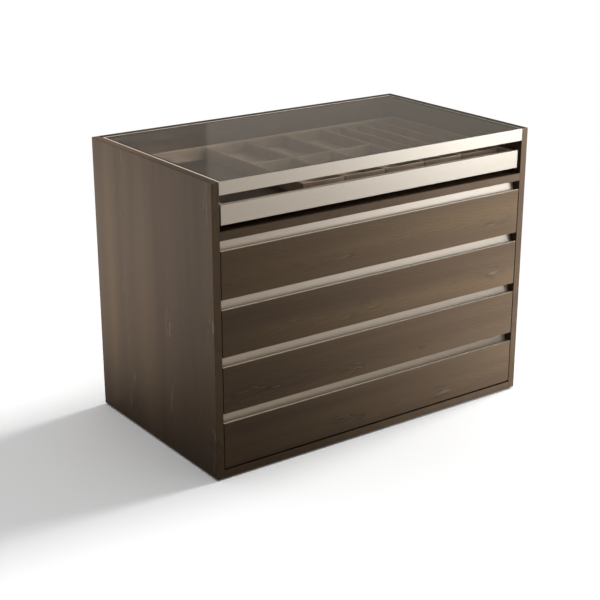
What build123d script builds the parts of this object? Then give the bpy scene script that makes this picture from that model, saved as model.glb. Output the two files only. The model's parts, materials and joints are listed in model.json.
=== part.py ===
"""Closet island: an oak-veneered chest with four wide drawers, a shallow display tray under a glass top
and a metal top frame. Millimetres. +Z is up, the front looks towards -Y, and the origin is on the floor
at the centre of the footprint."""

import os

from build123d import *

# Carcass
WIDTH = 1100.0
DEPTH = 640.0
HEIGHT = 832.0
SIDE_T = 23.0
BACK_T = 23.0
SHELF_T = 22.0
EASE = 0.8  # arris taken off the veneered edges

# Recessed base
PLINTH_H = 5.0
PLINTH_INSET = 8.0
PLINTH_W = 60.0

# Wooden drawers, counted from the top
DRAWERS = 4
FRONT_T = 22.0
FRONT_END_GAP = 2.0
FLOOR_GAP = 5.0  # below the lowest front
GRIP_GAP = 28.5  # from a front's wood to what is above it
BOX_T = 15.0
BOX_BACK_GAP = 45.0  # box to the back panel
BOX_LIFT = 8.0  # box above the front's lower edge
BOTTOM_T = 8.0
BOTTOM_LIFT = 12.0  # drawer bottom above the box's lower edge
GROOVE_DEPTH = 7.0
GROOVE_PLAY = 0.3

# Grip profile along the top of each front
GRIP_T = 1.6
GRIP_LIP = 5.0
GRIP_RUN = 7.0  # how far back the slope behind the lip goes
GRIP_SINK = 13.0  # depth of the channel below the front's wood
GRIP_FOOT = 19.0  # front face to the foot of the back plate
GRIP_DEPTH = 28.0  # front face to the top of the back plate, which leans back
GRIP_TOP_PLAY = 2.0
GRIP_SEAT_PLAY = 0.5
GRIP_RADII = (1.5, 3.0, 5.0)

# Display tray
TRAY_GAP = 17.0  # shelf to the tray's front
TRAY_FRONT_H = 53.0
TRAY_FRONT_T = 8.0
TRAY_SETBACK = 6.0
TRAY_END_GAP = 8.0
TRAY_TOP_GAP = 29.0  # tray's front to the top frame
TRAY_WALL_T = 12.0
TRAY_WALL_H = 48.0
TRAY_LIFT = 3.0
TRAY_BACK_GAP = 38.0
TRAY_FLOOR_T = 6.0
TRAY_FLOOR_LIFT = 4.0
LINING_T = 2.0
TRAY_COLUMNS = 7
OPEN_COLUMNS = 2  # columns left open beside the organisers
TROUGH_W = 46.0  # open strip behind the tray's front
ORGANISER_GAP = 2.5
ORGANISER_T = 5.0
ORGANISER_H = 34.0
ORGANISER_FLOOR_T = 3.0

# Top frame and glass
RAIL_H = 35.0
RAIL_D = 16.0
RAIL_WALL = 2.0
UPSTAND = 4.5
GLASS_T = 6.0
GLASS_PLAY = 0.75
GLASS_ARRIS = 1.0
TAPE_T = 1.0
TAPE_W = 9.0
KEY_LEG = 45.0
KEY_PLAY = 0.25

# Telescopic runners
RUNNER_T = 12.7  # panel to drawer box
RUNNER_H = 45.0
TRAY_RUNNER_H = 35.0
RUNNER_FRONT_PLAY = 2.0  # front of the box to its runners
SHEET_T = 1.2
RACE_GAP = 0.4
WEB_GAP = 1.7  # cabinet web to middle web, room for flat screw heads
OUTER_FLANGE = 11.0
CURL = 2.0  # how far a flange's edge turns in past the sheet
RUNNER_LIFT = 45.0  # runner's middle above a drawer front's lower edge

# Joints and fasteners
TONGUE_T = 6.0
TONGUE_W = 16.0
TONGUE_STOP = 60.0  # tongue's end to the front edge of its board
TONGUE_BACK_STOP = 20.0
TONGUE_PLAY = 0.3
SCREW_R = 1.9
SCREW_HEAD_R = 3.6
SCREW_HEAD_T = 2.2
HOLE_PLAY = 0.1
FRAME_SCREW_IN = 15.0
FRAME_SCREW_Y = (-200.0, 200.0)
FRAME_ACCESS_R = 5.0
FRONT_SCREW_X = 380.0
FRONT_SCREW_IN = 12.0
TRAY_SCREW_IN = 5.0

# Places worked out from the sizes above
INNER_X = WIDTH / 2 - SIDE_T
FRONT_Y = -DEPTH / 2
BACK_Y = DEPTH / 2
BACK_FACE_Y = BACK_Y - BACK_T
FLOOR_Z = PLINTH_H + SHELF_T
RAIL_Z = HEIGHT - RAIL_H
TRAY_FRONT_TOP = RAIL_Z - TRAY_TOP_GAP
TRAY_FRONT_Z = TRAY_FRONT_TOP - TRAY_FRONT_H
SHELF_TOP = TRAY_FRONT_Z - TRAY_GAP
SHELF_Z = SHELF_TOP - SHELF_T
DRAWER_PITCH = (SHELF_Z - FLOOR_Z - FLOOR_GAP) / DRAWERS
FRONT_H = DRAWER_PITCH - GRIP_GAP
BOX_H = FRONT_H - BOX_LIFT - GRIP_SINK
BOX_X = INNER_X - RUNNER_T
BOX_Y = FRONT_Y + FRONT_T
BOX_END_Y = BACK_FACE_Y - BOX_BACK_GAP
TRAY_FACE_Y = FRONT_Y + TRAY_SETBACK
TRAY_BOX_Y = TRAY_FACE_Y + TRAY_FRONT_T
TRAY_END_Y = BACK_FACE_Y - TRAY_BACK_GAP
TRAY_BOX_Z = TRAY_FRONT_Z + TRAY_LIFT
TRAY_FLOOR_TOP = TRAY_BOX_Z + TRAY_FLOOR_LIFT + TRAY_FLOOR_T
REBATE = GLASS_T + TAPE_T
CHAMBER = (RAIL_WALL, RAIL_D - RAIL_WALL)
CHAMBER_Z = (RAIL_Z + RAIL_WALL, HEIGHT - REBATE - RAIL_WALL)
FRAME_Y = (FRONT_Y + BACK_FACE_Y) / 2
FRAME_HALF_Y = (BACK_FACE_Y - FRONT_Y) / 2


def slab(x, y, z):
    """A plain block between two values on each axis."""
    centre = [(low + high) / 2 for low, high in (x, y, z)]
    return Pos(*centre) * Box(*[high - low for low, high in (x, y, z)])


def rod_x(radius, x, y, z):
    """A round rod along X between two values of x."""
    return Pos((x[0] + x[1]) / 2, y, z) * Rot(0, 90, 0) * Cylinder(radius, abs(x[1] - x[0]))


def rod_y(radius, x, y, z):
    """A round rod along Y between two values of y."""
    return Pos(x, (y[0] + y[1]) / 2, z) * Rot(90, 0, 0) * Cylinder(radius, abs(y[1] - y[0]))


def both_sides(piece):
    """The piece and its mirror image in the plane between left and right."""
    return [piece, mirror(piece, about=Plane.YZ)]


def cut(body, tools):
    """The body less every tool in the list."""
    for tool in tools:
        body = body - tool
    return body


def front_z(number):
    """Lower edge of the front of one wooden drawer, counted from the top."""
    return SHELF_Z - number * DRAWER_PITCH


def mitred_strip(length, half_across, width, z):
    """One side of a mitred rectangle, running along X at y = -half_across, as a prism."""
    half = length / 2
    corners = [(-half, -half_across), (half, -half_across)]
    corners += [(half - width, width - half_across), (width - half, width - half_across)]
    outline = make_face(Polyline(*corners, close=True))
    return extrude(Pos(0, 0, z[0]) * outline, z[1] - z[0])


# Joints of the carcass


def tongues(play=0.0):
    """Right-hand tongues of the bottom, the shelf and the back, or with play their grooves."""
    x = (INNER_X - TONGUE_W / 2 - play, INNER_X + TONGUE_W / 2 + play)
    y = (FRONT_Y + TONGUE_STOP - play, BACK_FACE_Y - TONGUE_BACK_STOP + play)
    half = TONGUE_T / 2
    middles = (PLINTH_H + SHELF_T / 2, SHELF_Z + SHELF_T / 2)
    level = [slab(x, y, (middle - half, middle + half)) for middle in middles]
    back = (BACK_FACE_Y + BACK_Y) / 2
    z = (PLINTH_H + TONGUE_STOP - play, HEIGHT - TONGUE_STOP + play)
    return level + [slab(x, (back - half, back + half), z)]


def frame_screw_shanks(play=0.0):
    """Right-hand screws from the top frame into the side panel, shanks only, or with play their holes."""
    x = (INNER_X - RAIL_WALL, INNER_X + FRAME_SCREW_IN + play)
    return [rod_x(SCREW_R + play, x, y, sum(CHAMBER_Z) / 2) for y in FRAME_SCREW_Y]


# Carcass boards


def side_panel():
    """The right-hand side panel."""
    board = slab((INNER_X, WIDTH / 2), (FRONT_Y, BACK_Y), (PLINTH_H, HEIGHT))
    board = chamfer(board.edges(), EASE)
    return cut(board, tongues(TONGUE_PLAY) + frame_screw_shanks(HOLE_PLAY))


def cross_board(y, z):
    """A board between the side panels, grooved for its tongues at both ends."""
    board = slab((-INNER_X, INNER_X), y, z)
    return cut(board, [groove for right in tongues(TONGUE_PLAY) for groove in both_sides(right)])


def bottom_panel():
    return cross_board((FRONT_Y, BACK_FACE_Y), (PLINTH_H, FLOOR_Z))


def fixed_shelf():
    return cross_board((FRONT_Y, BACK_FACE_Y), (SHELF_Z, SHELF_TOP))


def back_panel():
    return cross_board((BACK_FACE_Y, BACK_Y), (PLINTH_H, HEIGHT))


def plinth_strips():
    """The recessed base: four mitred strips."""
    half_x = WIDTH / 2 - PLINTH_INSET
    half_y = DEPTH / 2 - PLINTH_INSET
    long_strip = mitred_strip(2 * half_x, half_y, PLINTH_W, (0, PLINTH_H))
    short_strip = Rot(0, 0, 90) * mitred_strip(2 * half_y, half_x, PLINTH_W, (0, PLINTH_H))
    return [long_strip, Rot(0, 0, 180) * long_strip, short_strip, Rot(0, 0, 180) * short_strip]


# Top frame and glass


def rail_section():
    """Section of the frame's rail, with u running inwards from its outer face and v upwards."""
    bottom, ledge, top = RAIL_Z, HEIGHT - REBATE, HEIGHT
    outline = [(0, bottom), (RAIL_D, bottom), (RAIL_D, ledge), (UPSTAND, ledge), (UPSTAND, top), (0, top)]
    chamber = [(u, v) for u, v in zip((CHAMBER[0], CHAMBER[1]) * 2, sorted(CHAMBER_Z * 2))]
    chamber = [chamber[0], chamber[1], chamber[3], chamber[2]]
    return make_face(Polyline(*outline, close=True)) - make_face(Polyline(*chamber, close=True))


def frame_rail(length, half_across):
    """A mitred rail along X whose outer face lies at y = -half_across."""
    section = Plane.YZ * Pos(-half_across, 0) * rail_section()
    bar = extrude(section, length / 2, both=True)
    return bar & mitred_strip(length, half_across, RAIL_D, (RAIL_Z, HEIGHT))


def end_rail():
    """The right-hand rail, with its screw holes and the holes that let the driver in."""
    rail = Pos(0, FRAME_Y) * Rot(0, 0, 90) * frame_rail(2 * FRAME_HALF_Y, INNER_X)
    inner_wall = (INNER_X - RAIL_D, INNER_X - CHAMBER[1])
    height = sum(CHAMBER_Z) / 2
    access = [rod_x(FRAME_ACCESS_R, inner_wall, y, height) for y in FRAME_SCREW_Y]
    return cut(rail, frame_screw_shanks(HOLE_PLAY) + access)


def front_rail():
    return Pos(0, FRAME_Y) * frame_rail(2 * INNER_X, FRAME_HALF_Y)


def back_rail():
    return Pos(0, FRAME_Y) * Rot(0, 0, 180) * frame_rail(2 * INNER_X, FRAME_HALF_Y)


def corner_keys():
    """Cast corner keys in the hollow rails, one at each mitre."""
    near, far = CHAMBER[0] + KEY_PLAY, CHAMBER[1] - KEY_PLAY
    outline = [(near, near), (KEY_LEG, near), (KEY_LEG, far), (far, far), (far, KEY_LEG), (near, KEY_LEG)]
    height = (CHAMBER_Z[0] + KEY_PLAY, CHAMBER_Z[1] - KEY_PLAY)
    face = Pos(-INNER_X, FRONT_Y, height[0]) * make_face(Polyline(*outline, close=True))
    front_left = extrude(face, height[1] - height[0])
    back_left = mirror(front_left, about=Plane.XZ.offset(-FRAME_Y))
    return both_sides(front_left) + both_sides(back_left)


def frame_screws():
    """Right-hand frame screws with their pan heads inside the chamber."""
    head_x = (INNER_X - RAIL_WALL - SCREW_HEAD_T, INNER_X - RAIL_WALL)
    heads = [rod_x(SCREW_HEAD_R, head_x, y, sum(CHAMBER_Z) / 2) for y in FRAME_SCREW_Y]
    return [shank + head for shank, head in zip(frame_screw_shanks(), heads)]


def glass_pane():
    margin = UPSTAND + GLASS_PLAY
    x = INNER_X - margin
    pane = slab((-x, x), (FRONT_Y + margin, BACK_FACE_Y - margin), (HEIGHT - GLASS_T, HEIGHT))
    return chamfer(pane.edges().group_by(Axis.Z)[-1], GLASS_ARRIS)


def glass_tape():
    """Adhesive tape between the glass and its ledge, one closed ring."""
    outer = UPSTAND + GLASS_PLAY
    inner = outer + TAPE_W
    z = (HEIGHT - REBATE, HEIGHT - GLASS_T)
    rings = [
        slab((m - INNER_X, INNER_X - m), (FRONT_Y + m, BACK_FACE_Y - m), z) for m in (outer, inner)
    ]
    return rings[0] - rings[1]


# Wooden drawers


def bevel_foot():
    """Depth from the front face at which the slope behind the lip meets the wood's top."""
    slope = (GRIP_RUN**2 + GRIP_SINK**2) ** 0.5
    clear = GRIP_T / 2 + GRIP_SEAT_PLAY
    return GRIP_LIP + (GRIP_RUN * GRIP_T / 2 - clear * slope) / GRIP_SINK


def drawer_front(number):
    """The wooden front, cut away behind its top edge to seat the grip profile."""
    top = FRONT_H
    foot = bevel_foot()
    outline = [(0, 0), (FRONT_T, 0), (FRONT_T, top - GRIP_SINK), (foot + GRIP_RUN, top - GRIP_SINK)]
    outline += [(foot, top), (0, top)]
    half = INNER_X - FRONT_END_GAP
    section = Plane.YZ * Pos(FRONT_Y, front_z(number)) * make_face(Polyline(*outline, close=True))
    board = extrude(section, half, both=True)
    face_edges = board.faces().sort_by(Axis.Y)[0].edges().sort_by(Axis.Z)[:3]
    return cut(chamfer(face_edges, EASE), front_screw_shanks(number, HOLE_PLAY))


def grip_profile(number):
    """The grip: a lip over the wood's top edge, a finger channel behind it and a leaning back plate."""
    middle = GRIP_T / 2
    path = FilletPolyline(
        (0, middle),
        (GRIP_LIP, middle),
        (GRIP_LIP + GRIP_RUN, middle - GRIP_SINK),
        (GRIP_FOOT + middle, middle - GRIP_SINK),
        (GRIP_DEPTH + middle, GRIP_GAP - GRIP_TOP_PLAY),
        radius=GRIP_RADII,
    )
    section = trace(path, line_width=GRIP_T)
    face = Plane.YZ * Pos(FRONT_Y, front_z(number) + FRONT_H) * section
    return extrude(face, INNER_X - FRONT_END_GAP, both=True)


def walls(half_x, y, z, thick):
    """Four box walls: the sides run the full length, the front and back stand between them."""
    side = slab((half_x - thick, half_x), y, z)
    inner = (thick - half_x, half_x - thick)
    ends = [slab(inner, (y[0], y[0] + thick), z), slab(inner, (y[1] - thick, y[1]), z)]
    return both_sides(side) + ends


def floor_board(half_x, y, z, thick, play):
    """A board let into grooves in four walls, or with play the block that cuts those grooves."""
    reach = thick - GROOVE_DEPTH - play
    return slab((reach - half_x, half_x - reach), (y[0] + reach, y[1] - reach), (z[0], z[1]))


def drawer_box_extent(number):
    """Y and Z extent of the box behind one front."""
    low = front_z(number) + BOX_LIFT
    return (BOX_Y, BOX_END_Y), (low, low + BOX_H)


def drawer_bottom(number, play=0.0):
    y, z = drawer_box_extent(number)
    low = z[0] + BOTTOM_LIFT
    return floor_board(BOX_X, y, (low, low + BOTTOM_T), BOX_T, play)


def drawer_box(number):
    """The four walls of a drawer box, grooved for the bottom and drilled for the front's screws."""
    y, z = drawer_box_extent(number)
    tools = [drawer_bottom(number, GROOVE_PLAY)] + front_screw_shanks(number, HOLE_PLAY)
    return [cut(wall, tools) for wall in walls(BOX_X, y, z, BOX_T)]


def screw_row(y, z, play=0.0):
    """A left and a right shank along Y at one height."""
    return [rod_y(SCREW_R + play, x, y, z) for x in (-FRONT_SCREW_X, FRONT_SCREW_X)]


def headed(shanks, face_y, z):
    """The same screws with pan heads standing on the face at face_y."""
    head_y = (face_y, face_y + SCREW_HEAD_T)
    heads = [rod_y(SCREW_HEAD_R, x, head_y, z) for x in (-FRONT_SCREW_X, FRONT_SCREW_X)]
    return [shank + head for shank, head in zip(shanks, heads)]


def front_screw_z(number):
    """Height of a front's screws, halfway up the free part of the box wall."""
    z = drawer_box_extent(number)[1]
    return (z[0] + BOTTOM_LIFT + BOTTOM_T + z[1]) / 2


def front_screw_shanks(number, play=0.0):
    y = (BOX_Y - FRONT_SCREW_IN - play, BOX_Y + BOX_T)
    return screw_row(y, front_screw_z(number), play)


def front_screws(number):
    return headed(front_screw_shanks(number), BOX_Y + BOX_T, front_screw_z(number))


# Display tray


def tray_front():
    half = INNER_X - TRAY_END_GAP
    bar = slab((-half, half), (TRAY_FACE_Y, TRAY_BOX_Y), (TRAY_FRONT_Z, TRAY_FRONT_TOP))
    bar = chamfer(bar.faces().sort_by(Axis.Y)[0].edges(), EASE / 2)
    return cut(bar, tray_screw_shanks(HOLE_PLAY))


def tray_extent():
    return (TRAY_BOX_Y, TRAY_END_Y), (TRAY_BOX_Z, TRAY_BOX_Z + TRAY_WALL_H)


def tray_floor(play=0.0):
    y, z = tray_extent()
    low = z[0] + TRAY_FLOOR_LIFT
    return floor_board(BOX_X, y, (low, TRAY_FLOOR_TOP), TRAY_WALL_T, play)


def tray_box():
    y, z = tray_extent()
    tools = [tray_floor(GROOVE_PLAY)] + tray_screw_shanks(HOLE_PLAY)
    return [cut(wall, tools) for wall in walls(BOX_X, y, z, TRAY_WALL_T)]


def tray_inside():
    """X and Y extent of the tray between its walls."""
    half = BOX_X - TRAY_WALL_T
    y = tray_extent()[0]
    return (-half, half), (y[0] + TRAY_WALL_T, y[1] - TRAY_WALL_T)


def tray_lining():
    x, y = tray_inside()
    return slab(x, y, (TRAY_FLOOR_TOP, TRAY_FLOOR_TOP + LINING_T))


def organiser(x, y, split):
    """A leather-covered box of five boards, with one divider across it or along it."""
    base = TRAY_FLOOR_TOP + LINING_T
    z = (base + ORGANISER_FLOOR_T, base + ORGANISER_H)
    half = (x[1] - x[0]) / 2
    middle_x, middle_y = sum(x) / 2, sum(y) / 2
    pieces = [Pos(middle_x) * wall for wall in walls(half, y, z, ORGANISER_T)]
    pieces.append(slab(x, y, (base, base + ORGANISER_FLOOR_T)))
    inner_x = (x[0] + ORGANISER_T, x[1] - ORGANISER_T)
    inner_y = (y[0] + ORGANISER_T, y[1] - ORGANISER_T)
    reach = ORGANISER_T / 2
    if split == "across":
        pieces.append(slab(inner_x, (middle_y - reach, middle_y + reach), z))
    else:
        pieces.append(slab((middle_x - reach, middle_x + reach), inner_y, z))
    return pieces


def tray_organisers():
    """Organisers side by side in the tray; the last two have slots along their length."""
    x, y = tray_inside()
    column = (x[1] - x[0]) / TRAY_COLUMNS
    depth = (y[0] + TROUGH_W, y[1] - ORGANISER_GAP)
    pieces = []
    for index in range(OPEN_COLUMNS, TRAY_COLUMNS):
        left = x[0] + index * column
        width = (left + ORGANISER_GAP / 2, left + column - ORGANISER_GAP / 2)
        split = "along" if index >= TRAY_COLUMNS - 2 else "across"
        pieces += organiser(width, depth, split)
    return pieces


def tray_screw_z():
    return (TRAY_FLOOR_TOP + TRAY_BOX_Z + TRAY_WALL_H) / 2


def tray_screw_shanks(play=0.0):
    y = (TRAY_BOX_Y - TRAY_SCREW_IN - play, TRAY_BOX_Y + TRAY_WALL_T)
    return screw_row(y, tray_screw_z(), play)


def tray_screws():
    return headed(tray_screw_shanks(), TRAY_BOX_Y + TRAY_WALL_T, tray_screw_z())


# Telescopic runners: three pressed members, each riding in the races of the one before


def channel(web, edge, half_height, curl):
    """Section of a C channel: web at u = web, flanges out to u = edge, their edges curled in."""
    t = SHEET_T
    step = t if edge > web else -t
    upper = [(web, half_height), (edge, half_height), (edge, half_height - t - curl)]
    upper += [(edge - step, half_height - t - curl), (edge - step, half_height - t)]
    upper += [(web + step, half_height - t)]
    lower = [(u, -v) for u, v in reversed(upper)]
    return make_face(Polyline(*upper, *lower, close=True))


def outer_section(height):
    return channel(0.0, OUTER_FLANGE, height / 2, CURL)


def middle_section(height):
    web = SHEET_T + WEB_GAP
    edge = OUTER_FLANGE - SHEET_T - RACE_GAP
    return channel(web, edge, height / 2 - SHEET_T - RACE_GAP, CURL)


def inner_section(height):
    """Drawer member: its web lies on the drawer box and its flanges turn out behind the middle's curls."""
    race = height / 2 - 2 * (SHEET_T + RACE_GAP)
    neck = race - CURL - RACE_GAP
    heel = SHEET_T + WEB_GAP + SHEET_T + RACE_GAP
    t = SHEET_T
    upper = [(RUNNER_T, neck), (heel + t, neck), (heel + t, race), (heel, race), (heel, neck - t)]
    upper += [(RUNNER_T - t, neck - t)]
    lower = [(u, -v) for u, v in reversed(upper)]
    return make_face(Polyline(*upper, *lower, close=True))


def runner_height(number):
    """Middle height of one drawer's runners; the tray comes after the last drawer."""
    return TRAY_BOX_Z + TRAY_WALL_H / 2 if number > DRAWERS else front_z(number) + RUNNER_LIFT


def runner_members(section, number):
    """One member of a drawer's runners, both sides, u running from the side panel to the drawer."""
    tray = number > DRAWERS
    profile = section(TRAY_RUNNER_H if tray else RUNNER_H)
    start, end = (TRAY_BOX_Y, TRAY_END_Y) if tray else (BOX_Y, BOX_END_Y)
    face = Plane.XZ * Pos(-INNER_X, runner_height(number)) * profile
    return both_sides(Pos(0, end) * extrude(face, end - start - RUNNER_FRONT_PLAY))


# Assembly


def carcass_nodes():
    right_panel = side_panel()
    right_rail = end_rail()
    return {
        "left_side_panel": mirror(right_panel, about=Plane.YZ),
        "right_side_panel": right_panel,
        "back_panel": back_panel(),
        "bottom_panel": bottom_panel(),
        "fixed_shelf": fixed_shelf(),
        "carcass_tongues": [copy for tongue in tongues() for copy in both_sides(tongue)],
        "plinth_strips": plinth_strips(),
        "top_frame_front_rail": front_rail(),
        "top_frame_back_rail": back_rail(),
        "top_frame_left_rail": mirror(right_rail, about=Plane.YZ),
        "top_frame_right_rail": right_rail,
        "top_frame_corner_keys": corner_keys(),
        "top_frame_screws": [copy for screw in frame_screws() for copy in both_sides(screw)],
        "glass_top": glass_pane(),
        "glass_tape": glass_tape(),
    }


def drawer_nodes(number):
    name = f"drawer_{number}"
    return {
        f"{name}_front": drawer_front(number),
        f"{name}_grip": grip_profile(number),
        f"{name}_box": drawer_box(number),
        f"{name}_bottom": drawer_bottom(number),
        f"{name}_front_screws": front_screws(number),
    }


def tray_nodes():
    return {
        "tray_front": tray_front(),
        "tray_box": tray_box(),
        "tray_floor": tray_floor(),
        "tray_lining": tray_lining(),
        "tray_organisers": tray_organisers(),
        "tray_front_screws": tray_screws(),
    }


def runner_nodes(name, number):
    return {
        f"{name}_cabinet_runners": runner_members(outer_section, number),
        f"{name}_middle_runners": runner_members(middle_section, number),
        f"{name}_drawer_runners": runner_members(inner_section, number),
    }


def all_nodes():
    nodes = carcass_nodes() | tray_nodes() | runner_nodes("tray", DRAWERS + 1)
    for number in range(1, DRAWERS + 1):
        nodes |= drawer_nodes(number) | runner_nodes(f"drawer_{number}", number)
    return nodes


os.makedirs("parts", exist_ok=True)
for node, pieces in all_nodes().items():
    solids = pieces if isinstance(pieces, list) else [pieces]
    export_step(Compound(children=[s for piece in solids for s in piece.solids()]), f"parts/{node}.step")
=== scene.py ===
"""Closet island: its finishes, stitched leather organisers, screws, and a plain white studio."""

import json
import math

import bmesh
import bpy
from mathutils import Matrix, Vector

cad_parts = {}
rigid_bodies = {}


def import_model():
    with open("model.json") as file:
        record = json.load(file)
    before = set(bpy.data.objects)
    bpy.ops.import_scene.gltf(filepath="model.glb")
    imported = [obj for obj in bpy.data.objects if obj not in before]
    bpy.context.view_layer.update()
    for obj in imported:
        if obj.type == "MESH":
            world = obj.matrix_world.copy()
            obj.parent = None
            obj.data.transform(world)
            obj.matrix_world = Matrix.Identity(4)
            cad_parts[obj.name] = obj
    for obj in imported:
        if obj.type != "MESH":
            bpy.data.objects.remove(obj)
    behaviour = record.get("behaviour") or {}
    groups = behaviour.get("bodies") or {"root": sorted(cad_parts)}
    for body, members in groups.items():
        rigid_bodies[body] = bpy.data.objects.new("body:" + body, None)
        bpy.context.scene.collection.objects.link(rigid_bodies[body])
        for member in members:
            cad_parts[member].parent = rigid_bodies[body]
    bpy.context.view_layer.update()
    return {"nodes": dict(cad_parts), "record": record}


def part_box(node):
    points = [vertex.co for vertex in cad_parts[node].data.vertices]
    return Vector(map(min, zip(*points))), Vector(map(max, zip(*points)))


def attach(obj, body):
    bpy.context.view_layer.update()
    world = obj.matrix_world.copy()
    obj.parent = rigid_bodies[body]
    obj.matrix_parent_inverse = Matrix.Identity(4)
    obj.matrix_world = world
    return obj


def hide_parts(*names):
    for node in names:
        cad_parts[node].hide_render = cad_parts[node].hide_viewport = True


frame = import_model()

MM = 0.001
X, Y, Z = range(3)
DRAWERS = [f"drawer_{number}" for number in range(1, 5)]


# Small tools


def linear(hex_colour):
    """An sRGB hex colour as Blender's linear RGBA."""
    channels = [int(hex_colour[i : i + 2], 16) / 255 for i in (1, 3, 5)]
    return [c / 12.92 if c <= 0.04045 else ((c + 0.055) / 1.055) ** 2.4 for c in channels] + [1.0]


def add(tree, kind, inputs=None, stops=None, **settings):
    """Adds a node. Its inputs are values, sockets or nodes, which link by their first output; stops fill
    a ramp."""
    node = tree.nodes.new(kind)
    for name, value in settings.items():
        setattr(node, name, value)
    for key, value in (inputs or {}).items():
        if isinstance(value, bpy.types.Node):
            value = value.outputs[0]
        if isinstance(value, bpy.types.NodeSocket):
            tree.links.new(value, node.inputs[key])
        else:
            node.inputs[key].default_value = value
    if stops:
        ramp = node.color_ramp.elements
        ramp[0].position, ramp[0].color = stops[0]
        ramp[1].position, ramp[1].color = stops[-1]
        for position, colour in stops[1:-1]:
            ramp.new(position).color = colour
    return node


def material(name):
    """An empty material, with its tree, its output's surface socket and the Object coordinates."""
    made = bpy.data.materials.new(name)
    made.use_nodes = True
    tree = made.node_tree
    tree.nodes.clear()
    surface = add(tree, "ShaderNodeOutputMaterial").inputs["Surface"]
    return made, tree, surface, add(tree, "ShaderNodeTexCoord").outputs["Object"]


def blotches(tree, place, lengths, detail=2.0, seed=0.0):
    """Noise from 0 to 1 whose blotches are as long as lengths, in millimetres along X, Y and Z."""
    scale = [1 / (length * MM) for length in lengths]
    stretched = add(
        tree, "ShaderNodeVectorMath", {0: place, 1: scale, 2: [seed] * 3}, operation="MULTIPLY_ADD"
    )
    return add(tree, "ShaderNodeTexNoise", {"Vector": stretched, "Scale": 1.0, "Detail": detail})


def grey(value):
    """A grey as linear RGBA."""
    return [value, value, value, 1.0]


# Finishes


FRONT, BACK = -0.32, 0.32
ARCH_LENGTH, ARCH_WIDTH, ARCH_TIP = 110 * MM, 8 * MM, 11 * MM
WANDER, WAVER = 0.03, 2.2  # how far a leaf's middle strays, in metres, and an arch, in rings
OAK_TONES = ("#544436", "#5d4c3c", "#67543f")
FLECK_RIM, FLECK = "#3b2f25", "#93816b"


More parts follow.
